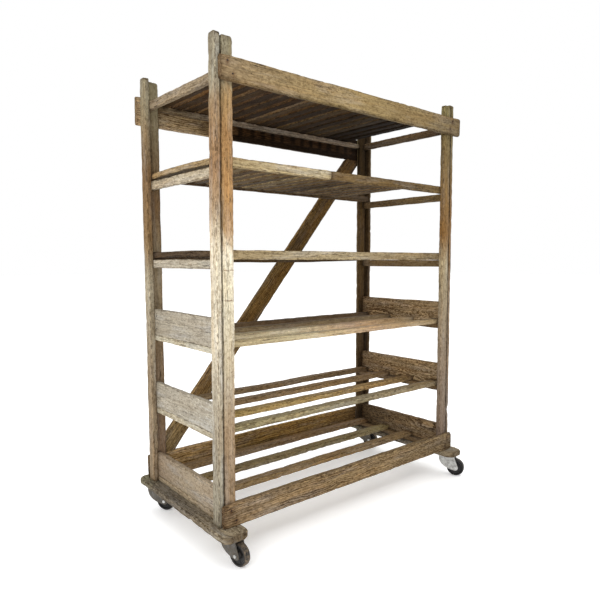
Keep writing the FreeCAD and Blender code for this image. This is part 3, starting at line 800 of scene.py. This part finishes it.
# the top shelf's slats, seen from below, are painted dark with the shade under that shelf
SLAT_TONES = {
    "top": [(60, 45, 27), (68, 52, 32), (48, 35, 20), (84, 68, 45), (58, 43, 26)],
    "upper": [(94, 78, 54), (108, 92, 66), (78, 63, 42), (120, 104, 76), (88, 72, 50)],
    "middle": [(84, 70, 48), (98, 82, 58), (72, 58, 42), (108, 92, 66)],
}
for shelf, count in COUNTS.items():
    rng = np.random.default_rng(400 + count + len(shelf))
    timber = Timber("worn_slats_" + shelf)
    for i, (a, b) in enumerate(slat_boxes(f"slats_{shelf}", count, SLAT_W, X)):
        palette = SLAT_TONES[shelf]
        base = np.array(palette[rng.integers(len(palette))], float)
        # painted highlights on the slats' narrow sides
        gain = 2.3 if shelf == "upper" else 1.2
        if shelf == "top":
            # painted shade: darker and browner toward the right-hand end, with the painted side highlights
            # fading
            base *= (1.0, 0.97, 0.91)
            base *= 1.2 - 0.62 * i / (count - 1)
            gain = 2.7 - 0.9 * i / (count - 1)
        trim = rng.uniform(-0.002, 0.0016, 2)
        a[0] += trim[0]
        b[0] += trim[1]
        tones = [(0, base), (0.5, base * rng.uniform(0.92, 1.08)), (1, base * 0.95)]
        split, twist = int(rng.random() < 0.45), rng.normal(0, 0.008)
        droop = 0.005 if i == 0 and shelf != "top" else 0
        timber.plank(
            a, b, Y, 420 + 31 * i + len(shelf) * 997, tones, step=0.02, chips=7, splits=split, bend=0.0006,
            shade=0.12, twist=twist, corner=0.0025, side_gain=gain, sag=(0, droop),
        )
    timber.finish(SLAT, "slats_" + shelf)

# ---- shelves of long slats

LONG_TONES = {
    "lower": [
        [(0, (178, 160, 122)), (0.3, (182, 170, 138)), (0.62, (178, 148, 112)), (1, (154, 136, 102))],
        [(0, (182, 166, 134)), (0.35, (184, 172, 142)), (0.62, (182, 150, 114)), (1, (152, 133, 101))],
        [(0, (128, 112, 84)), (1, (124, 106, 80))],
        [(0, (100, 82, 60)), (1, (92, 74, 54))],
    ],
    "low": [
        [(0, (150, 138, 102)), (0.4, (144, 134, 106)), (1, (134, 118, 90))],
        [(0, (168, 145, 94)), (0.4, (160, 137, 90)), (1, (134, 110, 76))],
        [(0, (132, 110, 82)), (0.6, (140, 116, 82)), (1, (120, 98, 70))],
        [(0, (118, 102, 78)), (0.5, (128, 108, 80)), (1, (110, 90, 64))],
    ],
    "bottom": [
        [(0, (140, 122, 88)), (1, (132, 112, 80))],
        [(0, (146, 124, 88)), (0.5, (140, 118, 84)), (1, (134, 112, 80))],
        [(0, (132, 116, 84)), (0.6, (138, 124, 90)), (1, (136, 124, 88))],
        [(0, (128, 106, 76)), (1, (120, 98, 70))],
    ],
}
for row, (shelf, tones) in enumerate(LONG_TONES.items()):
    timber = Timber("worn_slats_" + shelf)
    for i, (a, b) in enumerate(slat_boxes(f"slats_{shelf}", 4, BOARD_W, Y)):
        timber.plank(a, b, X, 600 + 40 * row + 7 * i, tones[i], chips=9, splits=2, bend=0.0022, corner=0.003)
    timber.finish(SOFT_SLAT if shelf == "lower" else SLAT, "slats_" + shelf)
    lo, hi = (np.array(v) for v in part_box(f"bearers_{shelf}"))
    timber = Timber("worn_bearers_" + shelf)
    for q, x in enumerate((lo[0], hi[0] - BOARD_W)):
        a, b = lo.copy(), hi.copy()
        a[0], b[0] = x, x + BOARD_W
        tone = (112, 92, 66)
        if q == 0:
            tone = (154, 139, 115) if shelf == "bottom" else (176, 169, 149)
        timber.plank(a, b, Y, 700 + 10 * row + q, [(0, tone), (1, tone)], chips=8)
    timber.finish(FRAME, "bearers_" + shelf)
    left = [(0, (176, 170, 156)), (0.5, (170, 163, 148)), (1, (162, 154, 138))]
    if shelf == "lower":
        left = [(0, (166, 158, 143)), (0.5, (160, 152, 136)), (1, (152, 144, 128))]
    if shelf == "bottom":
        left = [(0, (160, 145, 124)), (0.5, (153, 139, 118)), (1, (138, 120, 99))]
    right = [(0, (150, 130, 100)), (0.5, (150, 128, 96)), (1, (128, 107, 80))]
    if shelf == "bottom":
        right = [(0, (138, 118, 90)), (0.5, (122, 103, 77)), (1, (84, 69, 50))]
    single(f"end_board_{shelf}_left", Y, 750 + row, left, PALE, chips=8, splits=3, corner=0.0032)
    single(f"end_board_{shelf}_right", Y, 760 + row, right, BURL, chips=8, splits=2)

# ---- battens

for q, end in enumerate(("left", "right")):
    tones = [(0, (138, 126, 104)), (0.35, (114, 105, 91)), (0.8, (104, 96, 83)), (1, (116, 112, 88))]
    single(
        f"caster_batten_{end}", Y, 801 + q, tones, BATTEN, chips=18, chip_depth=0.005, splits=3,
        corner=0.0055, round_ends=0.030, step=0.007, wander=0.0014
    )


# ---- small metal


def lathe(profile, segments, ends=False):
    """Turn a profile of (radius, height) about Z: a closed ring, or an open line with two ends capped."""
    points, faces = [], []
    n = len(profile)
    for i in range(segments):
        t = math.tau * i / segments
        points += [(r * math.cos(t), r * math.sin(t), h) for r, h in profile]
    for i in range(segments):
        j = (i + 1) % segments
        for k in range(n - 1 if ends else n):
            l = (k + 1) % n
            faces.append((i * n + k, j * n + k, j * n + l, i * n + l))
    if ends:
        faces.append(tuple(i * n for i in reversed(range(segments))))
        faces.append(tuple(i * n + n - 1 for i in range(segments)))
    return points, faces


def slab(outline, y0, y1, bevel=0.0006):
    """A plate cut to an outline in XZ, counter-clockwise seen from -Y, with eased edges."""
    n = len(outline)
    pts = np.array(outline, float)
    before, after = np.roll(pts, 1, 0), np.roll(pts, -1, 0)
    tangent = after - before
    tangent /= np.linalg.norm(tangent, axis=1)[:, None]
    normal = np.stack([tangent[:, 1], -tangent[:, 0]], 1)
    inner = pts - normal * bevel
    rows = [(inner, y0), (pts, y0 + bevel), (pts, y1 - bevel), (inner, y1)]
    points = [(p[0], y, p[1]) for ring, y in rows for p in ring]
    faces = [tuple(range(n))]
    for r in range(3):
        for i in range(n):
            j = (i + 1) % n
            faces.append((r * n + j, r * n + i, (r + 1) * n + i, (r + 1) * n + j))
    faces.append(tuple(3 * n + i for i in reversed(range(n))))
    return points, faces


class Metal:
    """Several lathe turns and slabs that make one object."""

    def __init__(self, name):
        self.name, self.points, self.faces = name, [], []

    def add(self, shape, matrix=None):
        points, faces = shape
        base = len(self.points)
        for p in points:
            self.points.append(tuple(matrix @ Vector(p)) if matrix is not None else p)
        self.faces += [tuple(base + i for i in f) for f in faces]

    def finish(self, material, body, slot, *nodes, sharp=35):
        mesh = bpy.data.meshes.new(self.name)
        mesh.from_pydata(self.points, [], self.faces)
        mesh.materials.append(material)
        bm = bmesh.new()
        bm.from_mesh(mesh)
        bmesh.ops.recalc_face_normals(bm, faces=bm.faces)
        for face in bm.faces:
            face.smooth = True
        for edge in bm.edges:
            if len(edge.link_faces) == 2 and edge.calc_face_angle(0) > math.radians(sharp):
                edge.smooth = False
        bm.to_mesh(mesh)
        bm.free()
        return attach(mesh, body, slot, *nodes)


def curve(points, steps):
    """A smooth closed outline through the points."""
    pts = [np.array(p) for p in points]
    n = len(pts)
    out = []
    for i in range(n):
        a, b, c, d = pts[i - 1], pts[i], pts[(i + 1) % n], pts[(i + 2) % n]
        for q in range(steps):
            t = q / steps
            out.append(
                0.5 * (
                    2 * b + (c - a) * t + (
                        2 * a - 5 * b + 4 * c - d
                    ) * t * t + (3 * b - a - 3 * c + d) * t ** 3
                )
            )
    return out


def metal(name, color, dusty, rough, rust):
    s = Shader(name)
    place = s.node("TexCoord", {}, "Object")
    cloud = s.noise(place, 60.0, 5.0, 0.6)
    fine = s.noise(place, 420.0, 3.0, 0.6)
    scratch = s.noise(s.times(place, (900, 900, 60)), 1.0, 2.0)
    base = s.mix(s.step(cloud, 0.35, 0.65), color, tuple(v * 0.62 for v in color))
    base = s.mix(s.mul(s.step(scratch, 0.6, 0.72), 0.35), base, (0.85, 0.84, 0.80))
    dust = s.step(s.noise(place, 95.0, 6.0, 0.7), 0.60 - 0.3 * dusty, 0.78 - 0.25 * dusty)
    base = s.mix(s.mul(dust, 0.3 + 0.6 * dusty), base, (0.17, 0.145, 0.115))
    red = s.mul(s.step(s.noise(place, 140.0, 5.0, 0.7), 0.60, 0.70), rust)
    base = s.mix(red, base, (0.16, 0.06, 0.025))
    s.surface(Base_Color=base, Roughness=s.step(dust, 0.0, 1.0, rough, 0.85), Metallic=0.75)
    s.surface(Normal=s.bump(s.add(cloud, s.mul(fine, 0.5)), 0.25, 0.0006))
    return s.mat


def rubber(name, dusty):
    s = Shader(name)
    place = s.node("TexCoord", {}, "Object")
    worn = s.attr("tread")
    cloud = s.noise(place, 75.0, 6.0, 0.7)
    fine = s.noise(place, 600.0, 3.0, 0.6)
    dust = s.mul(s.step(cloud, 0.36, 0.62), s.add(s.mul(worn, dusty), 0.02 + 0.05 * dusty))
    base = s.mix(dust, s.mix(fine, (0.005, 0.005, 0.005), (0.011, 0.011, 0.011)), (0.15, 0.115, 0.08))
    s.surface(Base_Color=base, Roughness=s.step(dust, 0.0, 0.6, 0.30, 0.9), Specular_IOR_Level=0.25)
    s.surface(Normal=s.bump(s.add(cloud, fine), 0.22, 0.0005))
    return s.mat


BRIGHT = metal("zinc_bright", (0.62, 0.62, 0.60), 0.15, 0.28, 0.15)
ZINC = metal("zinc_dull", (0.50, 0.50, 0.48), 0.35, 0.40, 0.3)
DUSTY = metal("zinc_dusty", (0.13, 0.125, 0.115), 0.75, 0.55, 0.5)
RUST = metal("rusty_iron", (0.045, 0.032, 0.026), 0.15, 0.75, 0.5)
TYRE = rubber("tyre_black", 0.25)
TYRE_DUSTY = rubber("tyre_dusty", 1.0)


def move(x, y, z):
    return Matrix.Translation((x, y, z))


def spin(degrees, axis):
    return Matrix.Rotation(math.radians(degrees), 4, axis)


# nail heads
heads = Metal("domed_nail_heads")
rng = np.random.default_rng(900)
for place, out, radius in NAILS:
    place = lean(np.array([place], float))[0]
    profile = [
        (0.0002, -0.0015), (radius, -0.0015), (radius * 1.02, 0.0001), (radius * 0.8, 0.0007),
        (radius * 0.45, 0.0010), (0.0002, 0.0011)
    ]
    turn = Vector((0, 0, 1)).rotation_difference(
        Vector(out) + Vector(rng.normal(0, 0.06, 3))
    ).to_matrix().to_4x4()
    heads.add(lathe(profile, 12, ends=True), move(*place) @ turn)
heads.finish(RUST, RACK, "rusty_steel", "nail_heads")

# casters
CASTERS = {
    "front_left": (-80, DUSTY, TYRE_DUSTY),
    "front_right": (-66, ZINC, TYRE),
    "back_left": (-58, DUSTY, TYRE),
    "back_right": (-70, DUSTY, TYRE_DUSTY),
}
TRAIL, WHEEL_R, CASTER_H = 0.038, 0.042, 0.111
LEG_IN, LEG_OUT = 0.018, 0.021
SWIVEL_X = {"left": LEFT_DATUM + 0.050, "right": LEFT_DATUM + 1.344}
SWIVEL_Y = {"front": FRONT_DATUM - 0.005, "back": FRONT_DATUM + 0.571}
ON_SIDE = spin(90, "X")

LEG = curve([
    (0.033, 0.1005), (0.000, 0.1005), (-0.0375, 0.1005), (-0.0405, 0.090), (-0.0380, 0.073), (-0.0275, 0.055),
    (-0.008, 0.041), (0.016, 0.0325), (0.031, 0.0295), (0.041, 0.0285), (0.0505, 0.034), (0.052, 0.043),
    (0.047, 0.058), (0.040, 0.076), (0.0355, 0.090),
][::-1], 4)

TYRE_HALF = [
    (0.0042, -0.017), (0.0125, -0.017), (0.0132, -0.0162), (0.0150, -0.0118), (0.0165, -0.0092),
    (0.0290, -0.0088), (0.0310, -0.0095), (0.0325, -0.0122), (0.0340, -0.0138), (0.0372, -0.0139),
    (0.0396, -0.0128), (0.0412, -0.0106), (0.0418, -0.0080), (0.0420, -0.0040),
]
TYRE_PROFILE = TYRE_HALF + [(r, -h) for r, h in reversed(TYRE_HALF)]


def curve_box(x0, z0, x1, z1, r, steps=4):
    out = []
    for cx, cz, start in (
        (x1 - r, z0 + r, -90), (x1 - r, z1 - r, 0), (x0 + r, z1 - r, 90), (x0 + r, z0 + r, 180)
    ):
        for q in range(steps + 1):
            t = math.radians(start + 90 * q / steps)
            out.append((cx + r * math.cos(t), cz + r * math.sin(t)))
    return out


def hexagon(radius):
    angles = [math.radians(60 * i + 30) for i in range(6)]
    return [(radius * math.cos(t), radius * math.sin(t)) for t in angles]


screws = Metal("caster_screw_heads")
for corner_name, (angle, steel, tyre) in CASTERS.items():
    face, end = corner_name.split("_")
    stand = move(SWIVEL_X[end], SWIVEL_Y[face], 0)
    turned = stand @ spin(angle, "Z")
    hub = turned @ move(TRAIL, 0, WHEEL_R)
    name = "caster_" + corner_name
    # top plate with race and kingpin
    plate = Metal("visual_" + name + "_plate")
    outline = curve_box(-0.030, -0.047, 0.030, 0.047, 0.007)
    plate.add(slab(outline, -0.0015, 0.0015), stand @ move(0, 0, CASTER_H - 0.0015) @ spin(-90, "X"))
    race = [
        (0.0005, 0.1045), (0.0180, 0.1045), (0.0240, 0.1038), (0.0262, 0.1030), (0.0270, 0.1050),
        (0.0266, 0.1068), (0.0250, 0.1085), (0.0005, 0.1085)
    ]
    plate.add(lathe(race, 48, ends=True), stand)
    pin = [
        (0.0005, 0.0944), (0.0070, 0.0944), (0.0096, 0.0952), (0.0100, 0.0966), (0.0095, 0.0975),
        (0.0060, 0.0976), (0.0060, 0.1050), (0.0005, 0.1050)
    ]
    plate.add(lathe(pin, 32, ends=True), stand)
    plate.finish(steel, RACK, "caster_steel", name + "_plate")
    for i in (-1, 1):
        for j in (-1, 1):
            at = stand @ move(0.022 * i, 0.037 * j, CASTER_H - 0.003)
            dome = [
                (0.0003, -0.0038), (0.0022, -0.0037), (0.0044, -0.0028), (0.0057, -0.0012), (0.0060, 0.0002),
                (0.0003, 0.0002)
            ]
            screws.add(lathe(dome, 20, ends=True), at)
    # fork
    fork = Metal("visual_" + name + "_fork")
    for y0, y1 in ((-LEG_OUT, -LEG_IN), (LEG_IN, LEG_OUT)):
        fork.add(slab(LEG, y0, y1), turned)
    for side in (-1, 1):
        boss = [
            (0.0003, -0.0004), (0.0105, -0.0004), (0.0112, 0.0), (0.0105, 0.0008), (0.0088, 0.0012),
            (0.0003, 0.0012)
        ]
        fork.add(lathe(boss, 28, ends=True), hub @ move(0, side * LEG_OUT, 0) @ spin(-90 * side, "X"))
    crown = [
        (0.0062, 0.0981), (0.0295, 0.0981), (0.0300, 0.0988), (0.0300, 0.1006), (0.0288, 0.1020),
        (0.0250, 0.1025), (0.0062, 0.1025)
    ]
    fork.add(lathe(crown, 56), turned)
    bridge = curve_box(-LEG_OUT, 0.0980, LEG_OUT, 0.1008, 0.0013)
    fork.add(slab(bridge, -0.030, 0.0325), turned @ spin(90, "Z"))
    fork.finish(steel, "fork_" + corner_name, "caster_steel", name + "_fork")
    # axle bolt
    axle = Metal("visual_" + name + "_axle")
    middle = hub @ ON_SIDE
    bolt = [(0.0003, -0.0268), (0.0040, -0.0268), (0.0040, 0.0268), (0.0003, 0.0268)]
    axle.add(lathe(bolt, 20, ends=True), middle)
    for side in (-1, 1):
        a, b = sorted((side * 0.0212, side * 0.0264))
        axle.add(slab(hexagon(0.0069), a, b, 0.0007), hub)
        washer = [(0.0003, 0.0), (0.0084, 0.0), (0.0086, 0.0004), (0.0084, 0.0008), (0.0003, 0.0008)]
        axle.add(lathe(washer, 28, ends=True), middle @ move(0, 0, side * 0.0213 - 0.0004))
    axle.finish(BRIGHT, "fork_" + corner_name, "caster_steel", name + "_axle")
    # wheel
    wheel = Metal("visual_" + name + "_wheel")
    wheel.add(lathe(TYRE_PROFILE, 96), middle)
    for side in (-1, 1):
        for q in range(5):
            rib = spin(72 * q + 11, "Z") @ move(0.0218, 0, side * 0.0089)
            outline = curve_box(-0.0078, -0.0014, 0.0078, 0.0014, 0.0011, 2)
            wheel.add(slab(outline, -0.0018, 0.0018), middle @ rib)
    obj = wheel.finish(tyre, "wheel_" + corner_name, "wheel_rubber", name + "_wheel", sharp=30)
    out = np.array(middle.to_3x3() @ Vector((0, 0, 1)))
    pts = np.empty(len(obj.data.vertices) * 3, np.float32)
    obj.data.vertices.foreach_get("co", pts)
    gap = pts.reshape(-1, 3) - np.array(middle.translation)
    gap = gap - np.outer(gap @ out, out)
    store(obj.data, "tread", np.clip((np.linalg.norm(gap, axis=1) - 0.0375) / 0.004, 0, 1))
screws.finish(DUSTY, RACK, "rusty_steel", "caster_screws")

# ---- stage, lights, camera

floor_mesh = bpy.data.meshes.new("floor")
REACH = 40
floor_mesh.from_pydata(
    [(-REACH, -REACH, 0), (REACH, -REACH, 0), (REACH, REACH, 0), (-REACH, REACH, 0)], [], [(0, 1, 2, 3)]
)
floor = put_in_scene("floor", floor_mesh)
s = Shader("floor_pale")
s.surface(Base_Color=(0.98, 0.98, 0.98), Roughness=0.8, Specular_IOR_Level=0.1)
s.surface(Emission_Color=(1, 1, 1), Emission_Strength=0.2)
floor_mesh.materials.append(s.mat)

world = bpy.data.worlds.new("studio")
bpy.context.scene.world = world
world.use_nodes = True
background = world.node_tree.nodes["Background"].inputs
background["Color"].default_value = (1, 1, 1, 1)
background["Strength"].default_value = 1.0


def soft_light(name, place, aim, size, power):
    light = bpy.data.lights.new(name, "AREA")
    light.shape = "SQUARE"
    light.size = size
    light.energy = power
    obj = put_in_scene(name, light)
    obj.location = place
    obj.rotation_euler = (Vector(aim) - Vector(place)).to_track_quat("-Z", "Y").to_euler()


soft_light("overhead", (0, 0, 5.5), (0, 0, 0), 10.0, 220)
soft_light("key", (-4.0, -2.4, 2.6), (0, 0, 0.9), 2.6, 60)

camera_data = bpy.data.cameras.new("camera")
camera_data.lens = 33.6
camera_data.sensor_width = 36
camera = put_in_scene("camera", camera_data)
camera.location = (-1.69145, -1.91103, 1.0728)
camera.rotation_euler = (math.radians(86), 0, math.radians(-40.2))
bpy.context.scene.camera = camera
bpy.context.scene.view_settings.view_transform = "Standard"
